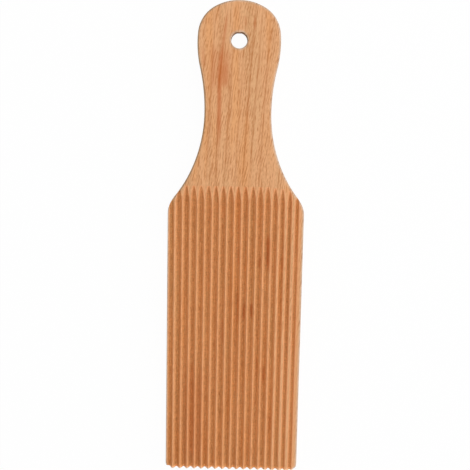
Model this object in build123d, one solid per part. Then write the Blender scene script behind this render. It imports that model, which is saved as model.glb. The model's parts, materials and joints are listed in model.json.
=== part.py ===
from build123d import *
import os
from math import acos, atan2, cos, degrees, floor, hypot, sin, sqrt

# Gnocchi board cut from one piece of beech: a ridged blade with a waisted handle of the same wood.
# A dumpling is rolled down the ridges, which print their grooves on it.
# Frame: +Y runs from the end of the blade to the end of the handle, +Z rises out of the ridged face.
# The origin lies under the middle of the board, in the plane of the flat underside.
# All lengths are in millimetres.

# The plank
board_length = 210.0
blade_width = 60.0
thickness = 10.0

# The handle, from its round end towards the blade
head_width = 35.8
head_length = 17.9
waist_length = 29.4
neck_inset = 3.4
shoulder_length = 40.9
crown_width_share = 0.6
crown_drop_share = 0.16
head_curve_share = 0.36

# Rounded corners and edges
shoulder_rounding = 11.0
blade_corner_rounding = 3.0
edge_rounding = 0.8

# The hanging hole
hole_diameter = 7.0
hole_from_end = 16.8
hole_easing = 0.4

# The grooves, cut by a shaped disc that lifts out of the wood at the shoulder
groove_pitch = 3.25
groove_depth = 2.6
groove_root_radius = 0.3
crest_flat = 0.25
crest_rounding = 0.2
crest_lift_share = 0.15
left_land = 0.15
least_right_land = 1.1
groove_reach = 8.8
cutter_radius = 17.0

# In a margin along each edge of the blade the grooves get shallower, by this share over the right margin
left_margin = 6.0
right_margin = 17.0
margin_loss_share = 0.47

# How far every cut runs past the wood
overrun = 1.0

# Stations along the board and half widths across it
handle_end_y = board_length / 2
blade_end_y = -board_length / 2
head_y = handle_end_y - head_length
neck_y = head_y - waist_length
shoulder_y = neck_y - shoulder_length
hole_y = handle_end_y - hole_from_end
groove_tip_y = shoulder_y + groove_reach
head_half = head_width / 2
neck_half = head_half - neck_inset
blade_half = blade_width / 2


def handle_side():
    """The right side of the handle, as tangent arcs from the end of its crown down to the shoulder corner."""
    waist_radii = (waist_length**2 + neck_inset**2) / (2 * neck_inset)
    side_radius = head_curve_share * waist_radii
    side_centre = Vector(head_half - side_radius, head_y)
    neck_centre = Vector(neck_half + waist_radii - side_radius, neck_y)
    inflection = side_centre + (neck_centre - side_centre) * head_curve_share

    crown_end = Vector(crown_width_share * head_half, handle_end_y - crown_drop_share * head_length)
    drop = handle_end_y - crown_end.Y
    crown_radius = (crown_end.X**2 + drop**2) / (2 * drop)
    inward = (Vector(0, handle_end_y - crown_radius) - crown_end).normalized()
    spread = crown_end - side_centre
    corner_radius = (side_radius**2 - spread.dot(spread)) / (2 * (spread.dot(inward) + side_radius))
    corner_centre = crown_end + inward * corner_radius
    side_start = side_centre + (corner_centre - side_centre).normalized() * side_radius

    neck = Vector(neck_half, neck_y)
    shoulder = Vector(blade_half, shoulder_y)
    corner = TangentArc(crown_end, side_start, tangent=(-inward.Y, inward.X))
    side = TangentArc(side_start, inflection, tangent=corner % 1)
    upper_neck = TangentArc(inflection, neck, tangent=side % 1)
    lower_neck = TangentArc(neck, shoulder, tangent=(0, -1))
    return crown_end, Curve() + [corner, side, upper_neck, lower_neck]


def outline():
    """The board seen from above, with its shoulder corners rounded and its blade cut off square."""
    crown_end, side = handle_side()
    crown = ThreePointArc((-crown_end.X, crown_end.Y), (0, handle_end_y), crown_end)
    blade = Polyline(
        (blade_half, shoulder_y),
        (blade_half, blade_end_y),
        (-blade_half, blade_end_y),
        (-blade_half, shoulder_y),
    )
    plan = make_face(Curve() + [crown, side, mirror(side, about=Plane.YZ), blade])
    columns = plan.vertices().group_by(Axis.X)
    shoulders = [column.sort_by(Axis.Y)[-1] for column in (columns[0], columns[-1])]
    return fillet(shoulders, shoulder_rounding)


def blank():
    """The plank with its long edges rounded over and a crisp sawn end, before any hole or groove."""
    plan = outline()
    plank = extrude(plan, amount=thickness)
    rims = plank.faces().filter_by(Axis.Z).edges().group_by(Axis.Y)[1:]
    plank = fillet([edge for rim in rims for edge in rim], edge_rounding)
    corners = plan.vertices().group_by(Axis.Y)[0]
    return plank & extrude(fillet(corners, blade_corner_rounding), amount=thickness)


def bore_hanging_hole(plank):
    """The plank with the hanging hole bored through its head and both rims eased."""
    centre = (0, hole_y, thickness / 2)
    plank = plank - Pos(*centre) * Cylinder(hole_diameter / 2, thickness + 2 * overrun)
    wall = plank.faces().filter_by(GeomType.CYLINDER).sort_by_distance(centre)[0]
    return fillet(wall.edges().filter_by(GeomType.CIRCLE), hole_easing)


def groove_section(depth):
    """The cutter's section, its top face level with z = 0: rounded root, straight flanks, hollow shoulders."""
    mouth = (groove_pitch - crest_flat) * depth / groove_depth
    crest_lift = crest_lift_share * crest_rounding
    crest_drop = crest_rounding - crest_lift
    crest_x = mouth / 2 + sqrt(crest_rounding**2 - crest_drop**2)
    rise = depth - groove_root_radius - crest_drop
    flank = acos((groove_root_radius + crest_rounding) / hypot(crest_x, rise)) - atan2(rise, crest_x)

    root_centre_z = groove_root_radius - depth
    root_end = Vector(groove_root_radius * cos(flank), root_centre_z - groove_root_radius * sin(flank))
    flank_end = Vector(crest_x - crest_rounding * cos(flank), crest_rounding * sin(flank) - crest_drop)
    crest_top = Vector(crest_x, crest_lift)
    top = Vector(crest_x, crest_lift + overrun)

    def flipped(point):
        return Vector(-point.X, point.Y)

    root = ThreePointArc(flipped(root_end), (0, -depth), root_end)
    rise_line = Line(root_end, flank_end)
    crest = TangentArc(flank_end, crest_top, tangent=rise_line % 1)
    wall = Line(crest_top, top)
    right = Curve() + [rise_line, crest, wall]
    return make_face(Curve() + [root, right, mirror(right, about=Plane.YZ), Line(top, flipped(top))])


def groove_cutter(depth):
    """One groove as a solid: straight along the blade, then lifting out on the curve of the cutting disc."""
    axis_height = cutter_radius - groove_depth
    lift_y = groove_tip_y - sqrt(cutter_radius**2 - axis_height**2)
    section = Plane((0, lift_y, thickness), x_dir=(1, 0, 0), z_dir=(0, -1, 0)) * groove_section(depth)
    straight = extrude(section, amount=lift_y - blade_end_y + overrun)
    disc_axis = Axis((0, lift_y, thickness + axis_height), (1, 0, 0))
    exit_angle = acos((axis_height - overrun) / (axis_height + depth))
    return straight + revolve(section, disc_axis, degrees(exit_angle))


def groove_places():
    """The middle of each groove across the blade, set out from the left edge: as many as the width holds."""
    opening = groove_pitch - crest_flat
    first = left_land + opening / 2 - blade_half
    count = floor((blade_width - left_land - least_right_land - opening) / groove_pitch) + 1
    return [first + index * groove_pitch for index in range(count)]


def depth_at(place):
    """Depth of the groove at a place across the blade: full in the middle, less in the two margins."""
    into_margin = max(place - blade_half + right_margin, left_margin - blade_half - place, 0)
    return groove_depth * (1 - margin_loss_share * into_margin / right_margin)


def board():
    """The whole board as one solid."""
    body = bore_hanging_hole(blank())
    return body - [Pos(place, 0, 0) * groove_cutter(depth_at(place)) for place in groove_places()]


os.makedirs("parts", exist_ok=True)
export_step(board(), "parts/board.step")
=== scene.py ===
import json
from math import acos, asin, atan2, ceil, cos, hypot, pi, radians, sin, sqrt
from typing import NamedTuple

import bpy
import numpy as np
from bpy.props import FloatProperty, FloatVectorProperty, PointerProperty
from bpy.types import Operator, Panel, PropertyGroup
from mathutils import Matrix, Vector
from mathutils.geometry import delaunay_2d_cdt


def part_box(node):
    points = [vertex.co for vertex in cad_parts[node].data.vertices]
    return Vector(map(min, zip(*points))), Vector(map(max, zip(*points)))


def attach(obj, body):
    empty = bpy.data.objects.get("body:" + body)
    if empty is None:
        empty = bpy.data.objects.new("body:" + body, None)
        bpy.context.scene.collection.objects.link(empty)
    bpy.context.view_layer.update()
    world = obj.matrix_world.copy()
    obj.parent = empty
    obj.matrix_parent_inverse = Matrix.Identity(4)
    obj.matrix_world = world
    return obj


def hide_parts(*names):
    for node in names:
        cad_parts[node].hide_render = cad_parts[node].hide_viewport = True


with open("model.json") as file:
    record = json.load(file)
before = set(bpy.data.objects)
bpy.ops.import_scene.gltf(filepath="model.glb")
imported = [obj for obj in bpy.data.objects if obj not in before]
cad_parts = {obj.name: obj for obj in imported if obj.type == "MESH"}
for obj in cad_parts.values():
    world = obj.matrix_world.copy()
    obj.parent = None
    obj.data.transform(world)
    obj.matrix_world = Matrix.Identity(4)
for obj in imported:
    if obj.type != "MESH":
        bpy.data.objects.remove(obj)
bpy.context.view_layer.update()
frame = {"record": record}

bl_info = {
    "name": "Gnocchi Board",
    "version": (1, 0, 0),
    "blender": (4, 5, 0),
    "location": "View3D > Sidebar > Gnocchi Board",
    "description": "Builds a beech gnocchi board with its grooves, grain and studio stage",
    "category": "Add Mesh",
}

BOARD_LOW, BOARD_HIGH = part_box("board")
HOLE = next(mount for mount in frame["record"]["mounts"] if mount["name"] == "hanging_hole")
MILLIMETRE = 0.001
PHOTO_PIXELS = 470
SENSOR_WIDTH = 36.0
CRISP_ANGLE = radians(38)
WHITE = (1.0, 1.0, 1.0)

# The stage, in metres. The floor lies a hair under the board, and rays shorter than its reach pass through it, so
# that it neither shades nor hides the underside. Each lamp has a place, a width and a length.
FLOOR_HALF = 1.5
FLOOR_GAP = 0.0001
CLEAR_WITHIN = 0.0005
LAMPS = {
    "key": ((0.72, 0.2, 0.72), 0.9, 1.4),
    "overhead": ((0.0, 0.2, 1.0), 1.15, 1.4),
    "fill": ((-0.67, 0.1, 0.67), 0.4, 0.8),
}


def length(name, description, default):
    """A size that the user may change, in metres."""
    return FloatProperty(
        name=name, description=description, default=default,
        min=0.0, precision=5, unit="LENGTH", subtype="DISTANCE",
    )


def share(name, description, default):
    """A plain ratio that the user may change."""
    return FloatProperty(name=name, description=description, default=default, precision=3)


def colour(name, description, default):
    """A linear colour that the user may change."""
    return FloatVectorProperty(
        name=name, description=description, default=default, size=3, min=0.0, max=2.0, subtype="COLOR"
    )


def angle(name, description, default):
    """An angle that the user may change, given here in degrees."""
    return FloatProperty(name=name, description=description, default=radians(default), subtype="ANGLE")


def power(name, description, default):
    """The power of a lamp, in watts."""
    return FloatProperty(name=name, description=description, default=default, min=0.0, unit="POWER")


class BoardSizes(PropertyGroup):
    """Sizes of the board that its box and its hole don't give."""

    head_width: length("Head width", "Widest part of the handle's head", 0.0358)
    head_length: length("Head length", "From the handle's end to its widest part", 0.0179)
    waist_length: length("Waist length", "From the widest part of the head to the neck", 0.0294)
    neck_inset: length("Neck inset", "How far each side draws in at the neck", 0.0034)
    shoulder_length: length("Shoulder length", "From the neck to the corner of the shoulder", 0.0409)
    crown_width: share("Crown width", "Share of the head's half width that the crown's arc spans", 0.6)
    crown_drop: share("Crown drop", "Share of the head's length that the crown's arc falls", 0.16)
    head_curve: share("Head curve", "Share of the waist's bend that belongs to the head", 0.36)
    shoulder_rounding: length("Shoulder rounding", "Radius of the shoulder corner, seen from above", 0.011)
    blade_corner_rounding: length("Blade corner rounding", "Radius of the blade's end corners", 0.003)
    edge_rounding: length("Edge rounding", "Radius of the upper and lower edges", 0.0008)
    end_easing: length("End easing", "Radius of the edges of the sawn blade end", 0.0001)
    hole_easing: length("Hole easing", "Rounding of the hole's rims", 0.0004)
    groove_pitch: length("Groove pitch", "From one groove to the next", 0.00325)
    groove_depth: length("Groove depth", "From the crests to the bottom of a groove", 0.0026)
    groove_root_radius: length("Groove root radius", "Radius at the bottom of a groove", 0.0003)
    crest_flat: length("Crest flat", "Flat left on top of each ridge", 0.00025)
    crest_rounding: length("Crest rounding", "Radius of each ridge's edges", 0.0002)
    crest_lift: share("Crest lift", "Share of the crest rounding that the face cuts off", 0.15)
    left_land: length("Left land", "Wood between the first groove and the left edge", 0.00015)
    right_land: length("Right land", "Least wood between the last groove and the right edge", 0.0011)
    groove_reach: length("Groove reach", "How far the grooves run past the shoulder corner", 0.0088)
    cutter_radius: length("Cutter radius", "Radius of the disc that cut the grooves", 0.017)
    left_margin: length("Left margin", "Strip along the left edge where the grooves get shallower", 0.006)
    right_margin: length("Right margin", "Strip along the right edge where the grooves get shallower", 0.017)
    margin_loss: share("Margin loss", "Share of its depth that a groove would lose over the right margin", 0.47)


class WoodFinish(PropertyGroup):
    """Colours and finish of the beech."""

    pale: colour("Pale wood", "Colour of the early wood", (0.795, 0.42, 0.206))
    deep: colour("Deep wood", "Colour of the late wood", (0.6, 0.275, 0.112))
    orange: colour("Orange tint", "Tint of the warmer bands", (1.0, 0.93, 0.82))
    olive: colour("Olive tint", "Tint of the cooler bands", (0.96, 1.0, 1.0))
    fleck: colour("Ray flecks", "Colour of the short dark dashes and flecks", (0.41, 0.11, 0.01))
    heart: colour("Heart streaks", "Colour of the red-brown heart streaks", (0.54, 0.145, 0.038))
    groove: colour("Cut wood tint", "Tint of the freshly cut wood in the grooves", (0.98, 0.958, 0.815))
    groove_gain: share("Cut wood gain", "How much lighter the freshly cut wood is", 1.03)
    # Painted shade: the root tint darkens the wood towards the very bottom of each groove.
    root: colour("Groove root tint", "Tint of the wood at the very bottom of the grooves", (0.865, 0.85, 0.8))
    # The crests of the ridges turn to a lighter, more saturated colour.
    crest: colour("Crest wear", "Colour that the rubbed crests of the ridges fade to", (0.93, 0.42, 0.185))
    crest_tint_share: share("Crest wear share", "How far the crests have faded", 0.5)
    # Painted shade on the rounded edges that face left, and a painted highlight on all the other edges.
    painted_edge_shade: colour("Dark rim tint", "Tint of the rounded edges on the left", (0.55, 0.72, 0.86))
    painted_edge_highlight: colour("Light rim tint", "Tint of all the other edges", (0.86, 1.17, 1.75))
    # Painted highlight: a lighter, greyer band along the sawn end of the blade.
    painted_end_highlight: colour("Scuffed end tint", "Tint of the face along the sawn end of the blade", (1.32, 1.36, 1.42))
    end_grain: share("End grain", "How much darker the ends of the fibres are", 0.1)
    roughness: share("Roughness", "Roughness of the bare sanded wood", 0.66)
    gloss: share("Gloss", "Strength of the reflection on the bare wood", 0.2)
    fibre_lean: share("Fibre lean", "Sideways run of the fibres for each length along the board", 0.13)
    relief: length("Relief", "Height of the raised fibres", 0.00001)


class StageLook(PropertyGroup):
    """The floor, the lamps and the camera."""

    floor: colour("Floor", "Colour of the floor", (0.9, 0.9, 0.9))
    shadow: share("Shadow", "How much of the floor's own shading the camera sees", 0.03)
    world: share("World light", "Strength of the light from all round", 0.15)
    key: power("Key light", "Power of the large soft lamp at the upper right", 8.5)
    overhead: power("Overhead light", "Power of the large soft lamp above the board", 4.55)
    fill: power("Fill light", "Power of the small soft lamp on the left", 1.3)
    camera_distance: length("Camera distance", "From the lens to the board's upper face", 0.4017)
    camera_aim: FloatVectorProperty(
        name="Camera aim", description="Where the camera looks on the board's face", default=(-0.0002, 0.0039),
        size=2, precision=5, unit="LENGTH", subtype="XYZ",
    )
    camera_tilt: angle("Camera tilt", "Lean of the camera towards the handle", 8.73)
    camera_roll: angle("Camera roll", "Turn of the picture about its middle", 1.134)
    lens_pixels: FloatProperty(name="Lens", description="Focal length in pixels of the picture", default=910.0)


def unit(vector):
    """The vector at length one."""
    return vector / np.linalg.norm(vector)


def arc_stations(centre, radius, start, end, spacing, hollow=False):
    """Points and outward normals along the arc between two points, without its last point."""
    first = atan2(start[1] - centre[1], start[0] - centre[0])
    last = atan2(end[1] - centre[1], end[0] - centre[0])
    sweep = (last - first + pi) % (2 * pi) - pi
    count = max(1, ceil(abs(sweep) * radius / spacing))
    angles = first + sweep * np.arange(count) / count
    outward = np.column_stack([np.cos(angles), np.sin(angles)])
    return centre + radius * outward, -outward if hollow else outward


class Groove:
    """One groove: its section and the place where it runs out of the wood."""

    # A mouth narrower than this share counts as closed. The turns place the mesh lines on root and crest.
    CLOSED_SHARE = 0.06
    ROOT_TURNS = (0.0, 0.35, 0.7, 1.0)
    CREST_TURNS = (0.0, 0.5, 1.0)
    MOUTH_STEPS = 400

    def __init__(self, plan, place):
        s = plan.sizes
        into_margin = max(place - plan.blade_half + s.right_margin, s.left_margin - plan.blade_half - place, 0)
        part = 1 - s.margin_loss * into_margin / s.right_margin
        self.place = place
        self.axis_height = plan.axis_height
        self.lift_y = plan.lift_y
        self.depth = s.groove_depth * part
        self.opening = (s.groove_pitch - s.crest_flat) / 2 * part
        self.root_radius = s.groove_root_radius
        self.crest_rounding = s.crest_rounding
        self.crest_drop = s.crest_rounding * (1 - s.crest_lift)
        self.crest_x = self.opening + sqrt(s.crest_rounding**2 - self.crest_drop**2)
        rise = self.depth - self.root_radius - self.crest_drop
        reach = hypot(self.crest_x, rise)
        self.flank = acos((self.root_radius + self.crest_rounding) / reach) - atan2(rise, self.crest_x)
        self.root_x = self.root_radius * cos(self.flank)
        self.flank_x = self.crest_x - self.crest_rounding * cos(self.flank)
        self.tip_y = self.lift_y + sqrt((self.axis_height + self.depth) ** 2 - self.axis_height**2)

    def section(self, offset):
        """Depth of the full groove at a distance from its middle, nothing beyond its opening."""
        offset = np.abs(offset)
        root = self.depth - self.root_radius
        root = root + np.sqrt(np.clip(self.root_radius**2 - offset**2, 0, None))
        flank_z = self.crest_rounding * sin(self.flank) - self.crest_drop
        root_z = self.depth - self.root_radius + self.root_radius * sin(self.flank)
        along = (offset - self.root_x) / (self.flank_x - self.root_x)
        flank = root_z + (-flank_z - root_z) * along
        crest = np.clip(self.crest_rounding**2 - (self.crest_x - offset) ** 2, 0, None)
        crest = self.crest_drop - np.sqrt(crest)
        full = np.where(offset < self.root_x, root, np.where(offset < self.flank_x, flank, crest))
        return np.where(offset < self.opening, np.clip(full, 0, None), 0)

    def mouth(self, y):
        """Half the width of the groove's mouth at places along the board."""
        needed = np.hypot(self.axis_height, np.clip(y - self.lift_y, 0, None)) - self.axis_height
        offsets = np.linspace(self.opening, 0, self.MOUTH_STEPS)
        return np.interp(needed, self.section(offsets), offsets)

    def columns(self):
        """Where the groove's mesh lines lie, from its middle to its mouth, on the full section."""
        root = [self.root_radius * sin(turn * (pi / 2 - self.flank)) for turn in self.ROOT_TURNS]
        middle = [(self.root_x + self.flank_x) / 2]
        last = asin(self.crest_drop / self.crest_rounding)
        turns = [self.flank + turn * (last - self.flank) for turn in self.CREST_TURNS]
        half = root + middle + [self.crest_x - self.crest_rounding * cos(turn) for turn in turns]
        return [-offset for offset in half[:0:-1]] + half

    def lines(self, y):
        """The groove's mesh lines at a place along the board, one alone where it has run out."""
        scale = float(self.mouth(y)) / self.opening
        if scale < self.CLOSED_SHARE:
            return [self.place]
        return [self.place + offset * scale for offset in self.columns()]


class Plan:
    """The board's outline and its grooves, worked out once from the sizes."""

    # Spacings of the mesh lines, and the turns of the stations round each corner of the blade's end
    FINE = 0.3 * MILLIMETRE
    COARSE = 0.8 * MILLIMETRE
    ROW_STEP = 1.5 * MILLIMETRE
    LIFT_ROWS = 24
    CORNER_TURNS = (0.0, -0.2, -0.45)

    # How far a ridge's tint reaches, and how far a corner has turned where its edges become crisp
    RIDGE_REACH = MILLIMETRE / 2
    CRISP_NORMAL = 0.5

    def __init__(self, sizes):
        self.sizes = sizes
        self.top = BOARD_HIGH.z
        self.handle_end = BOARD_HIGH.y
        self.blade_end = BOARD_LOW.y
        self.blade_half = BOARD_HIGH.x
        self.head_y = self.handle_end - sizes.head_length
        self.neck_y = self.head_y - sizes.waist_length
        self.shoulder_y = self.neck_y - sizes.shoulder_length
        self.head_half = sizes.head_width / 2
        self.neck_half = self.head_half - sizes.neck_inset
        self.hole_centre = np.array(HOLE["pos_m"][:2])
        self.hole_radius = HOLE["dims"]["r_mm"] * MILLIMETRE
        self.tip_y = self.shoulder_y + sizes.groove_reach
        self.axis_height = sizes.cutter_radius - sizes.groove_depth
        self.lift_y = self.tip_y - sqrt(sizes.cutter_radius**2 - self.axis_height**2)
        self.grooves = [Groove(self, place) for place in self.groove_places()]

    def groove_places(self):
        """The middle of each groove, set out from the left edge: as many as the blade's width holds."""
        s = self.sizes
        mouth = s.groove_pitch - s.crest_flat
        room = 2 * self.blade_half - mouth - s.left_land - s.right_land
        first = s.left_land + mouth / 2 - self.blade_half
        return [first + index * s.groove_pitch for index in range(int(room / s.groove_pitch) + 1)]

    def wood_height(self, x, y):
        """Height of the grooved face, before its edges are rounded over."""
        height = np.full(len(x), self.top)
        ahead = np.clip(y - self.lift_y, 0, None)
        for groove in self.grooves:
            cut_depth = groove.section(x - groove.place)
            rise = np.sqrt(np.clip((self.axis_height + cut_depth) ** 2 - ahead**2, 0, None))
            cut = self.top + self.axis_height - rise
            height = np.where((cut_depth > 0) & (y < groove.tip_y), np.minimum(cut, height), height)
        return height

    def floor_depth(self, x, y):
        """Depth of the middle of the nearest groove at each place, nothing where it has run out."""
        depths = np.array([groove.depth for groove in self.grooves])
        nearest = np.argmin(np.abs(x[:, None] - np.array([groove.place for groove in self.grooves])), axis=1)
        ahead = np.clip(y - self.lift_y, 0, None)
        reach = np.clip((self.axis_height + depths[nearest]) ** 2 - ahead**2, 0, None)
        return np.clip(np.sqrt(reach) - self.axis_height, 0, None)

    def ridge(self, x, y):
        """One on the ridges and in the grooves, falling to nothing a little way beyond a groove's mouth."""
        nearness = np.zeros(len(x))
        for groove in self.grooves:
            beyond = np.abs(x - groove.place) - groove.mouth(y)
            near = np.where(y < groove.tip_y, np.clip(1 - beyond / self.RIDGE_REACH, 0, 1), 0)
            nearness = np.maximum(nearness, near)
        return nearness

    def row(self, y):
        """All mesh lines across the blade at one place along it."""
        lines = [line for groove in self.grooves for line in groove.lines(y)]
        lines += [(left.place + right.place) / 2 for left, right in zip(self.grooves, self.grooves[1:])]
        return sorted(lines)

    def rows(self):
        """Places of the mesh rows along the grooves, closer where they lift out."""
        straight = np.arange(self.blade_end + self.sizes.edge_rounding, self.lift_y, self.ROW_STEP)[1:]
        lifting = self.lift_y + (self.tip_y - self.lift_y) * np.linspace(0, 1, self.LIFT_ROWS + 1)[:-1]
        return list(straight[straight < self.lift_y - MILLIMETRE / 2]) + list(lifting)

    def handle_arcs(self):
        """Stations down the handle's right side, arc by arc, and the place where the straight side begins."""
        s = self.sizes
        bend = (s.waist_length**2 + s.neck_inset**2) / (2 * s.neck_inset)
        side_radius = s.head_curve * bend
        side_centre = np.array([self.head_half - side_radius, self.head_y])
        upper_radius = bend - side_radius
        upper_centre = np.array([self.neck_half + upper_radius, self.neck_y])
        inflection = side_centre + (upper_centre - side_centre) * s.head_curve

        crown_end = np.array([s.crown_width * self.head_half, self.handle_end - s.crown_drop * s.head_length])
        drop = self.handle_end - crown_end[1]
        crown_radius = (crown_end[0] ** 2 + drop**2) / (2 * drop)
        crown_centre = np.array([0.0, self.handle_end - crown_radius])
        inward = unit(crown_centre - crown_end)
        apart = crown_end - side_centre
        corner_radius = (side_radius**2 - apart @ apart) / (2 * (apart @ inward + side_radius))
        corner_centre = crown_end + inward * corner_radius
        side_start = side_centre + unit(corner_centre - side_centre) * side_radius

        neck = np.array([self.neck_half, self.neck_y])
        shoulder_width = self.blade_half - self.neck_half
        lower_radius = (s.shoulder_length**2 + shoulder_width**2) / (2 * shoulder_width)
        lower_centre = np.array([self.neck_half + lower_radius, self.neck_y])
        rounding = s.shoulder_rounding
        rounding_x = self.blade_half - rounding
        fall = sqrt((lower_radius + rounding) ** 2 - (lower_centre[0] - rounding_x) ** 2)
        shoulder_centre = np.array([rounding_x, self.neck_y - fall])
        shoulder_start = lower_centre + unit(shoulder_centre - lower_centre) * lower_radius
        blade_top = np.array([self.blade_half, shoulder_centre[1]])
        arcs = [
            arc_stations(crown_centre, crown_radius, (0, self.handle_end), crown_end, self.COARSE),
            arc_stations(corner_centre, corner_radius, crown_end, side_start, self.COARSE),
            arc_stations(side_centre, side_radius, side_start, inflection, self.COARSE),
            arc_stations(upper_centre, upper_radius, inflection, neck, self.COARSE, hollow=True),
            arc_stations(lower_centre, lower_radius, neck, shoulder_start, self.FINE, hollow=True),
            arc_stations(shoulder_centre, rounding, shoulder_start, blade_top, self.FINE),
        ]
        return arcs, blade_top

    def side(self, lines):
        """Stations down the right side, from the middle of the crown to the corner of the blade's end."""
        arcs, blade_top = self.handle_arcs()
        radius = self.sizes.blade_corner_rounding
        centre = np.array([self.blade_half - radius, self.blade_end + radius])
        rows = [y for y in self.rows()[::-1] if centre[1] + self.COARSE < y < blade_top[1] - self.FINE]
        straight = np.array([blade_top] + [[self.blade_half, y] for y in rows])
        turns = {-acos((x - centre[0]) / radius) for x in lines if x < self.blade_half - self.FINE / 2}
        turns = sorted(turns.union(self.CORNER_TURNS), reverse=True)
        outward = np.array([[cos(turn), sin(turn)] for turn in turns])
        level = np.tile([1.0, 0.0], (len(straight), 1))
        pieces = arcs + [(straight, level), (centre + radius * outward, outward)]
        return np.vstack([points for points, _ in pieces]), np.vstack([normals for _, normals in pieces])

    def easing(self, points, normals):
        """Radius of the edges at each station of the outline: crisp along the sawn end of the blade."""
        s = self.sizes
        corner = points[:, 1] < self.blade_end + s.blade_corner_rounding
        round_share = np.where(corner, np.clip(1 + normals[:, 1] / self.CRISP_NORMAL, 0, 1), 1)
        return s.end_easing + (s.edge_rounding - s.end_easing) * round_share

    def outline(self):
        """Stations round the whole outline, clockwise from the crown: points and outward normals."""
        lines = np.array(self.row(self.blade_end))
        flat = self.blade_half - self.sizes.blade_corner_rounding
        right, right_normals = self.side(lines[lines > flat])
        left, left_normals = self.side(-lines[lines < -flat])
        between = lines[np.abs(lines) < flat - MILLIMETRE / 10][::-1]
        end = np.concatenate([[flat], between, [-flat]])
        flip = np.array([-1.0, 1.0])
        return (
            np.vstack([right, np.column_stack([end, np.full(len(end), self.blade_end)]), left[:0:-1] * flip]),
            np.vstack([right_normals, np.tile([0.0, -1.0], (len(end), 1)), left_normals[:0:-1] * flip]),
        )


def distance_inside(points, outline):
    """Distance of each point from the outline, negative outside it."""
    start, end = outline, np.roll(outline, -1, axis=0)
    along = end - start
    span = (along**2).sum(1)
    nearest = np.full(len(points), np.inf)
    inside = np.zeros(len(points), bool)
    for a, d, square, b in zip(start, along, span, end):
        t = np.clip(((points - a) @ d) / square, 0, 1)
        nearest = np.minimum(nearest, np.hypot(*(points - a - t[:, None] * d).T))
        crosses = (a[1] > points[:, 1]) != (b[1] > points[:, 1])
        if a[1] != b[1]:
            inside ^= crosses & (points[:, 0] < (b[0] - a[0]) * (points[:, 1] - a[1]) / (b[1] - a[1]) + a[0])
    return np.where(inside, nearest, -nearest)


def spread(half, step):
    """Evenly spaced places on both sides of the middle, out to about a half width."""
    count = round(half / step)
    return np.arange(-count, count + 1) * step


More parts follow.
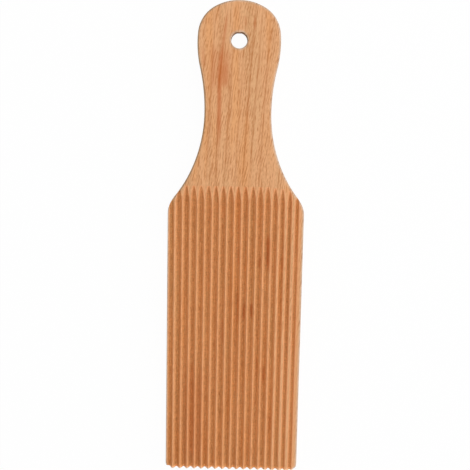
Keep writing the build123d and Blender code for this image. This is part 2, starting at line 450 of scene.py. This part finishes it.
class BoardMesh:
    """Gathers the vertices and faces of the board's one closed skin, and marks them for the material."""

    # Less than a hair, in metres, counts as nothing, and so does less than a same spot's width in millimetres
    HAIR = 1e-6
    SAME_SPOT = 1e-5
    INSIDE_ONLY = 1
    EDGE_RINGS = 5
    HOLE_RINGS = 4
    HOLE_SIDES = 48
    WALL_SHARES = (0.33, 0.66)
    FACE_STEP = 2 * MILLIMETRE
    UNDER_STEP = 6 * MILLIMETRE
    FACE_MARGIN = 0.12 * MILLIMETRE
    UNDER_MARGIN = MILLIMETRE

    def __init__(self, plan):
        self.plan = plan
        self.vertices = []
        self.faces = []
        self.points, self.normals = plan.outline()
        self.easing = plan.easing(self.points, self.normals)

    def add_vertices(self, spots, heights):
        """Vertices over the spots, and their indices."""
        first = len(self.vertices)
        self.vertices += [(x, y, z) for (x, y), z in zip(spots, heights)]
        return list(range(first, len(self.vertices)))

    def add_ring(self, inset, heights):
        """A ring of vertices inside the outline, and their indices."""
        return self.add_vertices(self.points - self.normals * np.reshape(inset, (-1, 1)), heights)

    def add_circle(self, radius, height):
        """A ring of vertices round the hole, and their indices."""
        turns = [2 * pi * index / self.HOLE_SIDES for index in range(self.HOLE_SIDES)]
        ring = [self.plan.hole_centre + radius * np.array([cos(turn), sin(turn)]) for turn in turns]
        return self.add_vertices(ring, [height] * self.HOLE_SIDES)

    def join_rings(self, lower, upper):
        """Quads between two rings, which run the same way round."""
        for here, there in zip(range(len(lower)), [*range(1, len(lower)), 0]):
            self.faces.append((lower[here], upper[here], upper[there], lower[there]))

    def fill(self, rim, hole, inner, upward):
        """Triangles between a rim, the ring round the hole and loose inner vertices."""
        indices = rim + hole + inner
        flat = [Vector(self.vertices[index][:2]) / MILLIMETRE for index in indices]
        loops = (range(len(rim)), range(len(rim), len(rim) + len(hole)))
        edges = [(loop[k - 1], loop[k]) for loop in loops for k in range(len(loop))]
        made, _, triangles, sources, _, _ = delaunay_2d_cdt(flat, edges, [], self.INSIDE_ONLY, self.SAME_SPOT)
        if len(made) != len(flat):
            raise RuntimeError("the face's mesh lines cross its rim")
        centre = Vector(self.plan.hole_centre) / MILLIMETRE
        for triangle in triangles:
            middle = sum((made[k] for k in triangle), Vector((0, 0))) / 3
            if (middle - centre).length < self.plan.hole_radius / MILLIMETRE:
                continue
            a, b, c = (indices[sources[k][0]] for k in triangle)
            pa, pb, pc = (Vector(self.vertices[k][:2]) for k in (a, b, c))
            rising = (pb - pa).cross(pc - pa) > 0
            self.faces.append((a, b, c) if rising == upward else (a, c, b))

    def rounded_rings(self, upper):
        """Rings over the rounded upper or lower edge, from the wall to the flat."""
        plan = self.plan
        rings = []
        for turn in np.linspace(0, pi / 2, self.EDGE_RINGS):
            inset, drop = self.easing * (1 - cos(turn)), self.easing * (1 - sin(turn))
            ring = self.points - self.normals * inset[:, None]
            if upper:
                heights = np.minimum(plan.top - drop, plan.wood_height(ring[:, 0], ring[:, 1]))
            else:
                heights = drop
            rings.append(self.add_ring(inset, heights))
        return rings

    def wall_rings(self, lower, upper):
        """Rings up the straight wall between the two rounded edges."""
        rings = []
        for rise in self.WALL_SHARES:
            heights = [
                self.vertices[below][2] + rise * (self.vertices[above][2] - self.vertices[below][2])
                for below, above in zip(lower, upper)
            ]
            rings.append(self.add_ring(0.0, heights))
        return rings

    def build_hole(self, easing):
        """The hole's wall with its eased rims, and the ring where each rim meets its face."""
        plan = self.plan
        turns = np.linspace(pi / 2, 0, self.HOLE_RINGS)
        levels = [(plan.hole_radius + easing * (1 - cos(turn)), easing * (1 - sin(turn))) for turn in turns]
        circles = [self.add_circle(radius, plan.top - drop) for radius, drop in levels]
        circles += [self.add_circle(radius, drop) for radius, drop in levels[::-1]]
        for above, below in zip(circles, circles[1:]):
            self.join_rings(below, above)
        return circles[0], circles[-1]

    def clear(self, spots, margin):
        """The spots that lie well inside the rim and well away from the hole."""
        plan = self.plan
        room = distance_inside(spots, self.points)
        from_hole = np.hypot(*(spots - plan.hole_centre).T)
        return spots[(room > plan.sizes.edge_rounding + margin) & (from_hole > plan.hole_radius + MILLIMETRE)]

    def upper_spots(self):
        """Places of the vertices of the ridged face and of the smooth handle."""
        plan = self.plan
        spots = [(x, y) for y in plan.rows() for x in plan.row(y)]
        spots += [(groove.place, groove.tip_y) for groove in plan.grooves]
        above = np.arange(plan.tip_y + self.FACE_STEP, plan.handle_end, self.FACE_STEP)
        spots += [(x, y) for y in above for x in spread(plan.blade_half, self.FACE_STEP)]
        return self.clear(np.array(spots), self.FACE_MARGIN)

    def lower_spots(self):
        """Places of the vertices of the flat underside."""
        across = spread(self.plan.blade_half, self.UNDER_STEP)
        along = spread(self.plan.handle_end, self.UNDER_STEP)
        return self.clear(np.array([(x, y) for x in across for y in along]), self.UNDER_MARGIN)

    def build(self):
        """The whole skin: ridged face, rounded edges, wall, underside and hole."""
        upper, lower = self.rounded_rings(True), self.rounded_rings(False)
        rings = lower[::-1] + self.wall_rings(lower[0], upper[0]) + upper
        for below, above in zip(rings, rings[1:]):
            self.join_rings(below, above)
        hole_top, hole_bottom = self.build_hole(self.plan.sizes.hole_easing)
        spots = self.upper_spots()
        heights = self.plan.wood_height(spots[:, 0], spots[:, 1])
        self.fill(upper[-1], hole_top, self.add_vertices(spots, heights), True)
        spots = self.lower_spots()
        self.fill(lower[-1], hole_bottom, self.add_vertices(spots, np.zeros(len(spots))), False)

    def mark(self, mesh):
        """Write on each vertex how deep it lies in a groove and how near it is to a rim and to the ridges."""
        places = np.array(self.vertices)
        top, height = self.plan.top, places[:, 2]
        wood = self.plan.wood_height(places[:, 0], places[:, 1])
        cut = np.where(np.abs(height - wood) < self.HAIR, top - wood, 0.0)
        deepest = self.plan.floor_depth(places[:, 0], places[:, 1])
        root = np.where(deepest > self.HAIR, cut / np.maximum(deepest, self.HAIR), 0.0)
        from_hole = np.hypot(*(places[:, :2] - self.plan.hole_centre).T) - self.plan.hole_radius
        from_edge = np.minimum(distance_inside(places[:, :2], self.points), from_hole)
        rim = np.maximum(from_edge, np.minimum(height, top - height))
        marks = {
            "cut_depth": cut / MILLIMETRE,
            "root_share": root,
            "rim_distance": rim / MILLIMETRE,
            "ridge_share": self.plan.ridge(places[:, 0], places[:, 1]),
        }
        for name, values in marks.items():
            layer = mesh.attributes.new(name, "FLOAT", "POINT")
            layer.data.foreach_set("value", values)


def mesh_object(name, vertices, faces):
    """A smooth-shaded mesh object whose edges stay crisp where faces turn sharply."""
    mesh = bpy.data.meshes.new(name)
    mesh.from_pydata(vertices, [], faces)
    mesh.validate()
    mesh.shade_smooth()
    mesh.set_sharp_from_angle(angle=CRISP_ANGLE)
    made = bpy.data.objects.new(name, mesh)
    bpy.context.scene.collection.objects.link(made)
    return made


class Tree:
    """Adds nodes to a node tree and links them."""

    def __init__(self, tree):
        self.tree = tree
        self.nodes, self.links = tree.nodes, tree.links

    def put(self, value, socket):
        """Feed a socket from another socket, or set its own value."""
        if isinstance(value, bpy.types.NodeSocket):
            self.links.new(value, socket)
        elif isinstance(value, (int, float)):
            socket.default_value = value
        else:
            socket.default_value = (*value, 1.0)[: len(socket.default_value)]

    def feed(self, node, inputs):
        """Feed a node's sockets by name or by number."""
        for name, value in inputs.items():
            self.put(value, node.inputs[name])

    def add(self, kind, inputs, output=0, **settings):
        """A new node's output, its inputs fed by name or by number."""
        node = self.nodes.new(kind)
        for name, value in settings.items():
            setattr(node, name, value)
        self.feed(node, inputs)
        return node.outputs[output]

    def maths(self, operation, first, second=0.0, third=0.0):
        """The result of a sum on plain values."""
        return self.add("ShaderNodeMath", {0: first, 1: second, 2: third}, operation=operation)

    def vector(self, operation, first, second):
        """The result of a sum on vectors."""
        return self.add("ShaderNodeVectorMath", {0: first, 1: second}, operation=operation)

    def combine(self, x, y, z):
        """A vector from its three parts."""
        return self.add("ShaderNodeCombineXYZ", {0: x, 1: y, 2: z})

    def parts(self, vector):
        """The three parts of a vector."""
        node = self.nodes.new("ShaderNodeSeparateXYZ")
        self.put(vector, node.inputs[0])
        return node.outputs

    def ramp(self, value, low, high, start=0.0, end=1.0):
        """A soft step from one value to another between two levels."""
        inputs = {"Value": value, "From Min": low, "From Max": high, "To Min": start, "To Max": end}
        return self.add("ShaderNodeMapRange", inputs, interpolation_type="SMOOTHSTEP")

    def fade(self, value, low, high):
        """A soft fall from one to nothing between two levels."""
        return self.ramp(value, low, high, 1.0, 0.0)

    def blend(self, factor, first, second, kind="MIX"):
        """Two colours mixed, the second one as far as the factor says."""
        inputs = {0: factor, 6: first, 7: second}
        return self.add("ShaderNodeMix", inputs, output=2, data_type="RGBA", blend_type=kind)

    def tint(self, factor, first, second):
        """A colour multiplied by a tint, as far as the factor says."""
        return self.blend(factor, first, second, "MULTIPLY")

    def mix_shaders(self, factor, first, second):
        """Two shaders mixed, the second one as far as the factor says."""
        return self.add("ShaderNodeMixShader", {0: factor, 1: first, 2: second})

    def attribute(self, name):
        """A value that the mesh carries on its vertices."""
        return self.add("ShaderNodeAttribute", {}, output="Fac", attribute_name=name)

    def noise(self, place, detail=2.0, roughness=0.5):
        """Smooth noise round one half, with bumps about one unit apart."""
        inputs = {"Vector": place, "Scale": 1.0, "Detail": detail, "Roughness": roughness}
        return self.add("ShaderNodeTexNoise", inputs)

    def call(self, group, inputs):
        """The first output of a node group, its inputs fed by name."""
        node = self.nodes.new("ShaderNodeGroup")
        node.node_tree = group
        self.feed(node, inputs)
        return node.outputs[0]


def new_group(name, vectors, numbers, result):
    """An empty node group with named inputs and one result: its tree, its inputs and the result's socket."""
    group = bpy.data.node_groups.new(name, "ShaderNodeTree")
    for label in vectors:
        group.interface.new_socket(label, in_out="INPUT", socket_type="NodeSocketVector")
    for label in numbers:
        group.interface.new_socket(label, in_out="INPUT", socket_type="NodeSocketFloat")
    group.interface.new_socket(result, in_out="OUTPUT", socket_type="NodeSocketFloat")
    inputs = group.nodes.new("NodeGroupInput").outputs
    return Tree(group), inputs, group.nodes.new("NodeGroupOutput").inputs[0]


def fibre_group():
    """Fine fibres: noise drawn out along the grain."""
    tree, given, result = new_group("fibres", ["Position"], ["Width", "Length"], "Value")
    size = tree.combine(given["Width"], given["Length"], given["Width"])
    tree.put(tree.noise(tree.vector("DIVIDE", given["Position"], size), detail=1.0, roughness=0.4), result)
    return tree.tree


def fleck_group():
    """Short dark flecks where the wood's rays come to the face, some strong and some faint."""
    core, brim, full_strength = 0.06, 0.36, 0.7
    tree, given, result = new_group("ray_flecks", ["Position"], ["Width", "Length"], "Mask")
    size = tree.combine(given["Width"], given["Length"], given["Width"])
    cells = tree.nodes.new("ShaderNodeTexVoronoi")
    tree.put(tree.vector("DIVIDE", given["Position"], size), cells.inputs["Vector"])
    tree.put(1.0, cells.inputs["Scale"])
    near = tree.fade(cells.outputs["Distance"], core, brim)
    strength = tree.ramp(tree.parts(cells.outputs["Color"])[0], 0.0, full_strength)
    tree.put(tree.maths("MULTIPLY", near, strength), result)
    return tree.tree


def dash_group():
    """Narrow dark dashes lying side by side: wavering lines along the grain, broken up along their length."""
    waver_width, waver_length, waver_turns, slant = 3.0, 4.0, 2.6, 1.2
    gap_start, gap, whole = (5.0, 9.0, 3.0), 0.36, 0.62
    tree, given, result = new_group("dashes", ["Position"], ["Spacing", "Length"], "Mask")
    wide = tree.maths("MULTIPLY", given["Spacing"], waver_width)
    long = tree.maths("MULTIPLY", given["Length"], waver_length)
    waver = tree.noise(tree.vector("DIVIDE", given["Position"], tree.combine(wide, long, wide)), roughness=0.4)
    x, _, z = tree.parts(given["Position"])
    across = tree.maths("DIVIDE", tree.maths("MULTIPLY_ADD", z, slant, x), given["Spacing"])
    turn = tree.maths("MULTIPLY", tree.maths("MULTIPLY_ADD", waver, waver_turns, across), 2 * pi)
    line = tree.ramp(tree.maths("SINE", turn), 0.0, 1.0)
    size = tree.combine(given["Spacing"], given["Length"], given["Spacing"])
    broken = tree.vector("DIVIDE", tree.vector("ADD", given["Position"], gap_start), size)
    broken = tree.noise(broken, detail=1.0)
    tree.put(tree.maths("MULTIPLY", line, tree.ramp(broken, gap, whole)), result)
    return tree.tree


def ring_group():
    """Growth rings about a heart that lies to one side of and below the board: darker late wood."""
    late_start, late_full, late_end = 0.35, 0.9, 0.92
    tree, given, result = new_group("growth_rings", ["Position", "Heart"], ["Spacing"], "Late Wood")
    x, _, z = tree.parts(tree.vector("SUBTRACT", given["Position"], given["Heart"]))
    away = tree.add("ShaderNodeVectorMath", {0: tree.combine(x, 0.0, z)}, output="Value", operation="LENGTH")
    turn = tree.maths("FRACT", tree.maths("DIVIDE", away, given["Spacing"]))
    late = tree.ramp(turn, late_start, late_full)
    tree.put(tree.maths("MULTIPLY", late, tree.fade(turn, late_end, 1.0)), result)
    return tree.tree


def streak_group():
    """One long streak in the grain, soft at its sides and its ends."""
    solid_width, solid_length = 0.2, 0.4
    sizes = ["Half Width", "Half Length", "Lean"]
    tree, given, result = new_group("streak", ["Position", "Centre"], sizes, "Mask")
    x, y, _ = tree.parts(tree.vector("SUBTRACT", given["Position"], given["Centre"]))
    across = tree.maths("SUBTRACT", x, tree.maths("MULTIPLY", y, given["Lean"]))
    across = tree.maths("ABSOLUTE", tree.maths("DIVIDE", across, given["Half Width"]))
    along = tree.maths("ABSOLUTE", tree.maths("DIVIDE", y, given["Half Length"]))
    mask = tree.maths("MULTIPLY", tree.fade(across, solid_width, 1.0), tree.fade(along, solid_length, 1.0))
    tree.put(mask, result)
    return tree.tree


class Streak(NamedTuple):
    """A dark, pale or reddish line in the wood: places and sizes in millimetres, lean as a slope."""

    x: float
    y: float
    half_width: float
    half_length: float
    lean: float
    strength: float


HEART_STREAKS = (
    Streak(-6.5, 88.5, 1.0, 14.0, 0.125, 0.45),
    Streak(-8.0, 63.5, 1.5, 24.0, 0.0, 0.66),
    Streak(-7.7, 75.0, 0.5, 9.0, 0.09, 0.6),
    Streak(-5.7, 73.5, 2.2, 6.5, 0.0, 0.34),
    Streak(-6.0, 76.5, 3.6, 10.0, 0.03, 0.4),
    Streak(-10.8, 76.0, 2.6, 13.0, 0.0, 0.35),
    Streak(-15.3, 81.0, 0.9, 5.0, 0.0, 0.3),
    Streak(2.5, 96.5, 0.8, 3.0, 0.0, 0.3),
    Streak(6.5, 95.6, 0.8, 3.5, 0.0, 0.35),
    Streak(-11.1, 12.7, 1.0, 4.0, 0.0, 0.3),
    Streak(14.9, -4.0, 1.5, 10.0, 0.0, 0.75),
    Streak(11.1, -8.6, 0.6, 4.0, 0.0, 0.45),
    Streak(1.4, -6.0, 0.8, 5.0, 0.0, 0.35),
    Streak(21.3, -8.4, 0.8, 4.0, 0.0, 0.4),
    Streak(1.8, -29.0, 0.8, 9.0, 0.0, 0.35),
    Streak(4.7, -31.3, 0.8, 5.0, 0.0, 0.6),
    Streak(8.0, -30.7, 0.8, 4.5, 0.0, 0.65),
    Streak(-5.1, -40.5, 0.8, 7.5, 0.0, 0.35),
    Streak(11.0, -58.0, 0.5, 7.0, 0.0, 0.4),
    Streak(14.1, -60.2, 0.8, 4.5, 0.0, 0.5),
    Streak(17.5, -83.0, 0.8, 4.5, 0.0, 0.4),
    Streak(-18.0, -82.0, 7.0, 32.0, 0.0, 0.32),
)
PALE_STREAKS = (Streak(27.0, -80.0, 12.0, 50.0, 0.0, 0.5),)
DARK_STREAKS = (
    Streak(28.6, -45.0, 1.1, 75.0, 0.0, 0.18),
    Streak(-7.9, 72.5, 0.5, 8.0, 0.08, 0.45),
    Streak(11.7, 64.0, 0.65, 52.0, 0.047, 0.28),
    Streak(7.9, 66.0, 0.65, 52.0, 0.053, 0.34),
    Streak(4.7, 64.0, 0.65, 55.0, 0.054, 0.42),
    Streak(1.1, 62.0, 0.6, 55.0, 0.053, 0.25),
    Streak(-3.5, 62.0, 0.6, 55.0, 0.056, 0.36),
    Streak(-8.9, 40.0, 0.65, 22.0, 0.03, 0.3),
    Streak(-11.9, 64.0, 0.65, 52.0, 0.045, 0.25),
    Streak(9.2, 72.0, 2.0, 15.0, 0.0, 0.08),
    Streak(-8.2, 44.0, 1.8, 9.0, 0.0, 0.08),
    Streak(-6.5, 88.0, 4.0, 12.0, 0.1, 0.08),
    Streak(-4.8, 66.0, 1.6, 8.0, 0.0, 0.1),
    Streak(-1.0, -45.0, 2.8, 55.0, 0.0, 0.07),
    Streak(-20.0, -42.0, 2.8, 25.0, 0.0, 0.06),
)


class Beech:
    """Bare sanded beech, whose rings, fibres and flecks run through the whole solid along its length."""

    # Sizes of the patterns in millimetres, across, along and up through the board, and how far some are shifted
    BEND_SIZE = (18.0, 55.0, 18.0)
    GRAIN_BEND = 4.0
    STREAK_BEND = 1.5
    FINE_FIBRES = {"Width": 0.4, "Length": 1.6}
    BROAD_FIBRES = {"Width": 2.4, "Length": 60.0}
    RINGS = {"Heart": (70.0, 0.0, -60.0), "Spacing": 2.3}
    DASHES = {"Spacing": 1.15, "Length": 3.4}
    FLECKS = {"Width": 1.5, "Length": 6.0}
    FLECK_START = (7.0, 3.0, 5.0)
    BAND_SIZE = (3.6, 42.0, 6.0)
    BAND_START = (31.0, 0.0, 17.0)
    CHATTER_SIZE = (1.8, 0.6, 1.8)

    # How much each pattern counts in the colour, the roughness and the relief
    FINE_WEIGHT = 1.6
    LATE_WEIGHT = 0.1
    DARKEST_TONE = 0.54
    DASH_WEIGHT = 0.52
    DASH_WEIGHT_LOST = 0.22
    FLECK_WEIGHT = 0.12
    CHATTER = 0.44
    FIBRE_POLISH = 0.2
    DASH_ROUGHNESS = 0.08
    DASH_HOLLOW = 0.4

    # Where each change begins and where it is complete
    ORANGE_BANDS = (0.5, 0.72)
    OLIVE_BANDS = (0.5, 0.28)
    FACING_UP = (0.1, 0.3)
    FRESH_DEPTHS = (0.0, 0.6)
    ROOT_SHARES = (0.5, 1.0)
    CREST_DEPTHS = (0.25, 1.0)
    LIGHT_SIDE = (-0.35, 0.0)
    RIM_WIDTHS = (0.0, 1.2)
    END_HIGHLIGHT_LENGTHS = (0.6, 1.4)
    FACING_END = (0.5, 1.0)

    def __init__(self, finish):
        self.finish = finish
        self.material = bpy.data.materials.new("beech")
        self.material.use_nodes = True
        self.tree = tree = Tree(self.material.node_tree)
        place = tree.add("ShaderNodeTexCoord", {}, output="Object")
        self.place = tree.vector("DIVIDE", place, (MILLIMETRE,) * 3)
        self.bend = tree.maths("SUBTRACT", tree.noise(tree.vector("DIVIDE", self.place, self.BEND_SIZE)), 0.5)
        self.leaning = self.moved(tree.parts(self.place)[1], -finish.fibre_lean)
        self.fibres = fibre_group()
        self.fine = tree.call(self.fibres, {"Position": self.leaning, **self.FINE_FIBRES})
        self.dashes = tree.call(dash_group(), {"Position": self.leaning, **self.DASHES})
        self.normal = tree.parts(tree.add("ShaderNodeTexCoord", {}, output="Normal"))
        self.facing_up = tree.ramp(self.normal[2], *self.FACING_UP)
        self.depth = tree.maths("MULTIPLY", tree.attribute("cut_depth"), self.facing_up)
        self.fresh = tree.ramp(self.depth, *self.FRESH_DEPTHS)

    def moved(self, value, amount):
        """The place moved across the board by a value times an amount."""
        shift = self.tree.combine(self.tree.maths("MULTIPLY", value, amount), 0.0, 0.0)
        return self.tree.vector("ADD", self.place, shift)

    def solid_wood(self):
        """Colour of the wood itself: fibres, growth rings, warm and cool bands, dark dashes and flecks."""
        tree, finish = self.tree, self.finish
        grain = self.moved(self.bend, self.GRAIN_BEND)
        broad = tree.call(self.fibres, {"Position": grain, **self.BROAD_FIBRES})
        late = tree.call(ring_group(), {"Position": grain, **self.RINGS})
        tone = tree.maths("SUBTRACT", broad, self.DARKEST_TONE)
        tone = tree.maths("MULTIPLY_ADD", self.fine, self.FINE_WEIGHT, tone)
        tone = tree.maths("SUBTRACT", tone, tree.maths("MULTIPLY", late, self.LATE_WEIGHT))
        wood = tree.blend(tree.ramp(tone, 0.0, 1.0), finish.deep, finish.pale)

        bands = tree.vector("DIVIDE", tree.vector("ADD", grain, self.BAND_START), self.BAND_SIZE)
        bands = tree.noise(bands, detail=1.0, roughness=0.4)
        wood = tree.tint(tree.ramp(bands, *self.ORANGE_BANDS), wood, finish.orange)
        wood = tree.tint(tree.ramp(bands, *self.OLIVE_BANDS), wood, finish.olive)

        weight = tree.maths("MULTIPLY_ADD", self.fresh, -self.DASH_WEIGHT_LOST, self.DASH_WEIGHT)
        wood = tree.blend(tree.maths("MULTIPLY", self.dashes, weight), wood, finish.fleck)
        flecks = {"Position": tree.vector("ADD", self.leaning, self.FLECK_START), **self.FLECKS}
        flecks = tree.call(fleck_group(), flecks)
        return tree.blend(tree.maths("MULTIPLY", flecks, self.FLECK_WEIGHT), wood, finish.fleck)

    def streaked(self, wood):
        """The wood with its placed streaks, which waver a little with the grain."""
        tree, finish = self.tree, self.finish
        place = self.moved(self.bend, self.STREAK_BEND)
        group = streak_group()
        kinds = ((HEART_STREAKS, finish.heart), (PALE_STREAKS, finish.pale), (DARK_STREAKS, finish.fleck))
        for streaks, tint in kinds:
            for one in streaks:
                mask = tree.call(group, {
                    "Position": place, "Centre": (one.x, one.y, 0.0),
                    "Half Width": one.half_width, "Half Length": one.half_length, "Lean": one.lean,
                })
                wood = tree.blend(tree.maths("MULTIPLY", mask, one.strength), wood, tint)
        return wood

    def grooved(self, wood):
        """The wood with its grooves: fresh and chattered where cut, with painted shade at the roots and a
        lighter, more saturated colour on the crests.
        """
        tree, finish = self.tree, self.finish
        chatter = tree.noise(tree.vector("DIVIDE", self.place, self.CHATTER_SIZE), detail=1.0)
        gain = tree.maths("MULTIPLY_ADD", chatter, self.CHATTER, finish.groove_gain - self.CHATTER / 2)
        cut = tree.add("ShaderNodeVectorMath", {0: finish.groove, "Scale": gain}, operation="SCALE")
        wood = tree.tint(self.fresh, wood, cut)
        # Painted shade: the wood darkens towards the bottom of each groove.
        root = tree.maths("MULTIPLY", tree.attribute("root_share"), self.facing_up)
        wood = tree.tint(tree.ramp(root, *self.ROOT_SHARES), wood, finish.root)
        # The crests turn to a lighter, more saturated colour.
        ridge = tree.maths("MULTIPLY", tree.attribute("ridge_share"), self.facing_up)
        crest = tree.maths("MULTIPLY", ridge, tree.fade(self.depth, *self.CREST_DEPTHS))
        return tree.blend(tree.maths("MULTIPLY", crest, finish.crest_tint_share), wood, finish.crest)

    def edged(self, wood):
        """The wood with painted shade on its rims that face left and a painted highlight on its other rims, a
        painted highlight along the blade's sawn end, and its end grain.
        """
        tree, finish = self.tree, self.finish
        # Painted shade on the rounded edges facing left, a painted highlight on all the others.
        rim = tree.blend(tree.ramp(self.normal[0], *self.LIGHT_SIDE), finish.painted_edge_shade, finish.painted_edge_highlight)
        wood = tree.tint(tree.fade(tree.attribute("rim_distance"), *self.RIM_WIDTHS), wood, rim)
        # Painted highlight in a band along the sawn end of the blade.
        painted_end_highlight = [BOARD_LOW.y / MILLIMETRE + inwards for inwards in self.END_HIGHLIGHT_LENGTHS]
        wood = tree.tint(tree.fade(tree.parts(self.place)[1], *painted_end_highlight), wood, finish.painted_end_highlight)
        ends = tree.ramp(tree.maths("ABSOLUTE", self.normal[1]), *self.FACING_END)
        return tree.blend(tree.maths("MULTIPLY", ends, finish.end_grain), wood, finish.fleck)

    def build(self):
        """The whole material: its colour, its roughness and its raised fibres."""
        tree, finish = self.tree, self.finish
        rough = finish.roughness + self.FIBRE_POLISH / 2
        rough = tree.maths("MULTIPLY_ADD", self.fine, -self.FIBRE_POLISH, rough)
        height = tree.maths("SUBTRACT", self.fine, tree.maths("MULTIPLY", self.dashes, self.DASH_HOLLOW))
        relief = {"Strength": 1.0, "Distance": finish.relief, "Height": height}
        values = {
            "Base Color": self.edged(self.grooved(self.streaked(self.solid_wood()))),
            "Roughness": tree.maths("ADD", rough, tree.maths("MULTIPLY", self.dashes, self.DASH_ROUGHNESS)),
            "Specular IOR Level": finish.gloss,
            "Normal": tree.add("ShaderNodeBump", relief, output="Normal"),
        }
        tree.feed(tree.nodes["Principled BSDF"], values)
        return self.material


class GNOCCHI_OT_board(Operator):
    """Build the beech board that stands for the solid part"""

    bl_idname = "gnocchi.board"
    bl_label = "Board"

    def execute(self, context):
        skin = BoardMesh(Plan(context.scene.gnocchi_sizes))
        skin.build()
        board = mesh_object("beech_board", skin.vertices, skin.faces)
        skin.mark(board.data)
        board.data.materials.append(Beech(context.scene.gnocchi_wood).build())
        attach(board, "root")
        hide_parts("board")
        return {"FINISHED"}


def seen_directly(tree):
    """A socket that is 1 for what the camera sees, also in a reflection or through glass, and 0 for light."""
    path = tree.nodes.new("ShaderNodeLightPath").outputs
    seen = tree.maths("MAXIMUM", path["Is Camera Ray"], path["Is Glossy Ray"])
    return tree.maths("MAXIMUM", seen, path["Is Transmission Ray"])


def seen_from_below(tree):
    """A socket that is 1 where the floor is seen from below, and for the light that the underside gathers."""
    near = tree.maths("LESS_THAN", tree.add("ShaderNodeLightPath", {}, output="Ray Length"), CLEAR_WITHIN)
    return tree.maths("MAXIMUM", near, tree.add("ShaderNodeNewGeometry", {}, output="Backfacing"))


def build_floor(look):
    """A wide pale floor, clear from below, that the camera sees as white with the board's soft shadow on it."""
    corners = [(x * FLOOR_HALF, y * FLOOR_HALF, -FLOOR_GAP) for x, y in ((-1, -1), (1, -1), (1, 1), (-1, 1))]
    floor = mesh_object("floor", corners, [(0, 1, 2, 3)])
    material = bpy.data.materials.new("floor")
    material.use_nodes = True
    tree = Tree(material.node_tree)
    shader = tree.nodes["Principled BSDF"]
    tree.feed(shader, {"Base Color": look.floor, "Roughness": 1.0, "Specular IOR Level": 0.0})
    glow = tree.add("ShaderNodeEmission", {"Color": WHITE})
    lit = tree.maths("MULTIPLY", seen_directly(tree), 1 - look.shadow)
    from_above = tree.mix_shaders(lit, shader.outputs[0], glow)
    clear = tree.add("ShaderNodeBsdfTransparent", {})
    surface = tree.mix_shaders(seen_from_below(tree), from_above, clear)
    tree.put(surface, tree.nodes["Material Output"].inputs["Surface"])
    floor.data.materials.append(material)


def build_world(look):
    """Even light from all round, seen by the camera as white."""
    world = bpy.data.worlds.new("studio")
    world.use_nodes = True
    tree = Tree(world.node_tree)
    light = tree.nodes["Background"]
    tree.feed(light, {"Color": WHITE, "Strength": look.world})
    white = tree.add("ShaderNodeBackground", {"Color": WHITE})
    surface = tree.mix_shaders(seen_directly(tree), light.outputs[0], white)
    tree.put(surface, tree.nodes["World Output"].inputs["Surface"])
    bpy.context.scene.world = world


def build_lamps(look):
    """Soft lamps that face the board, on the right, above it and, much weaker, on the left."""
    for name, (place, width, long) in LAMPS.items():
        lamp = bpy.data.lights.new(name, "AREA")
        lamp.shape = "RECTANGLE"
        lamp.size, lamp.size_y = width, long
        lamp.energy = getattr(look, name)
        made = bpy.data.objects.new(name, lamp)
        made.location = place
        made.rotation_euler = (-Vector(place)).to_track_quat("-Z", "Y").to_euler()
        bpy.context.scene.collection.objects.link(made)


def build_camera(look):
    """The photograph's view: nearly straight down, leaning towards the handle, turned a little."""
    data = bpy.data.cameras.new("camera")
    data.sensor_width = SENSOR_WIDTH
    data.lens = look.lens_pixels * SENSOR_WIDTH / PHOTO_PIXELS
    camera = bpy.data.objects.new("camera", data)
    back = Vector((0, sin(look.camera_tilt), cos(look.camera_tilt)))
    aim = Vector((*look.camera_aim, BOARD_HIGH.z))
    tilt = Matrix(((1, 0, 0), (0, back.z, back.y), (0, -back.y, back.z)))
    turn = Matrix.Rotation(look.camera_roll, 3, back) @ tilt
    camera.matrix_world = Matrix.Translation(aim + back * look.camera_distance) @ turn.to_4x4()
    bpy.context.scene.collection.objects.link(camera)
    bpy.context.scene.camera = camera


class GNOCCHI_OT_stage(Operator):
    """Set up the pale floor, the soft lights and the camera"""

    bl_idname = "gnocchi.stage"
    bl_label = "Stage"

    def execute(self, context):
        look = context.scene.gnocchi_stage
        build_floor(look)
        build_world(look)
        build_lamps(look)
        build_camera(look)
        context.scene.view_settings.view_transform = "Standard"
        return {"FINISHED"}


class GNOCCHI_PT_panel(Panel):
    """The board's pieces, sizes and finish"""

    bl_idname = "GNOCCHI_PT_panel"
    bl_label = "Gnocchi Board"
    bl_space_type = "VIEW_3D"
    bl_region_type = "UI"
    bl_category = "Gnocchi Board"

    def draw(self, context):
        for operator in (GNOCCHI_OT_board, GNOCCHI_OT_stage):
            self.layout.operator(operator.bl_idname)
        for group in (context.scene.gnocchi_sizes, context.scene.gnocchi_wood, context.scene.gnocchi_stage):
            column = self.layout.column(align=True)
            for name in group.__annotations__:
                column.prop(group, name)


CLASSES = (BoardSizes, WoodFinish, StageLook, GNOCCHI_OT_board, GNOCCHI_OT_stage, GNOCCHI_PT_panel)


def register():
    """Add the classes and the scene's settings."""
    for entry in CLASSES:
        bpy.utils.register_class(entry)
    bpy.types.Scene.gnocchi_sizes = PointerProperty(type=BoardSizes)
    bpy.types.Scene.gnocchi_wood = PointerProperty(type=WoodFinish)
    bpy.types.Scene.gnocchi_stage = PointerProperty(type=StageLook)


def unregister():
    """Take the settings and the classes away again."""
    del bpy.types.Scene.gnocchi_stage
    del bpy.types.Scene.gnocchi_wood
    del bpy.types.Scene.gnocchi_sizes
    for entry in reversed(CLASSES):
        bpy.utils.unregister_class(entry)


def main():
    """Build everything."""
    register()
    bpy.ops.gnocchi.board()
    bpy.ops.gnocchi.stage()
    bpy.context.view_layer.update()


if __name__ == "__main__":
    main()
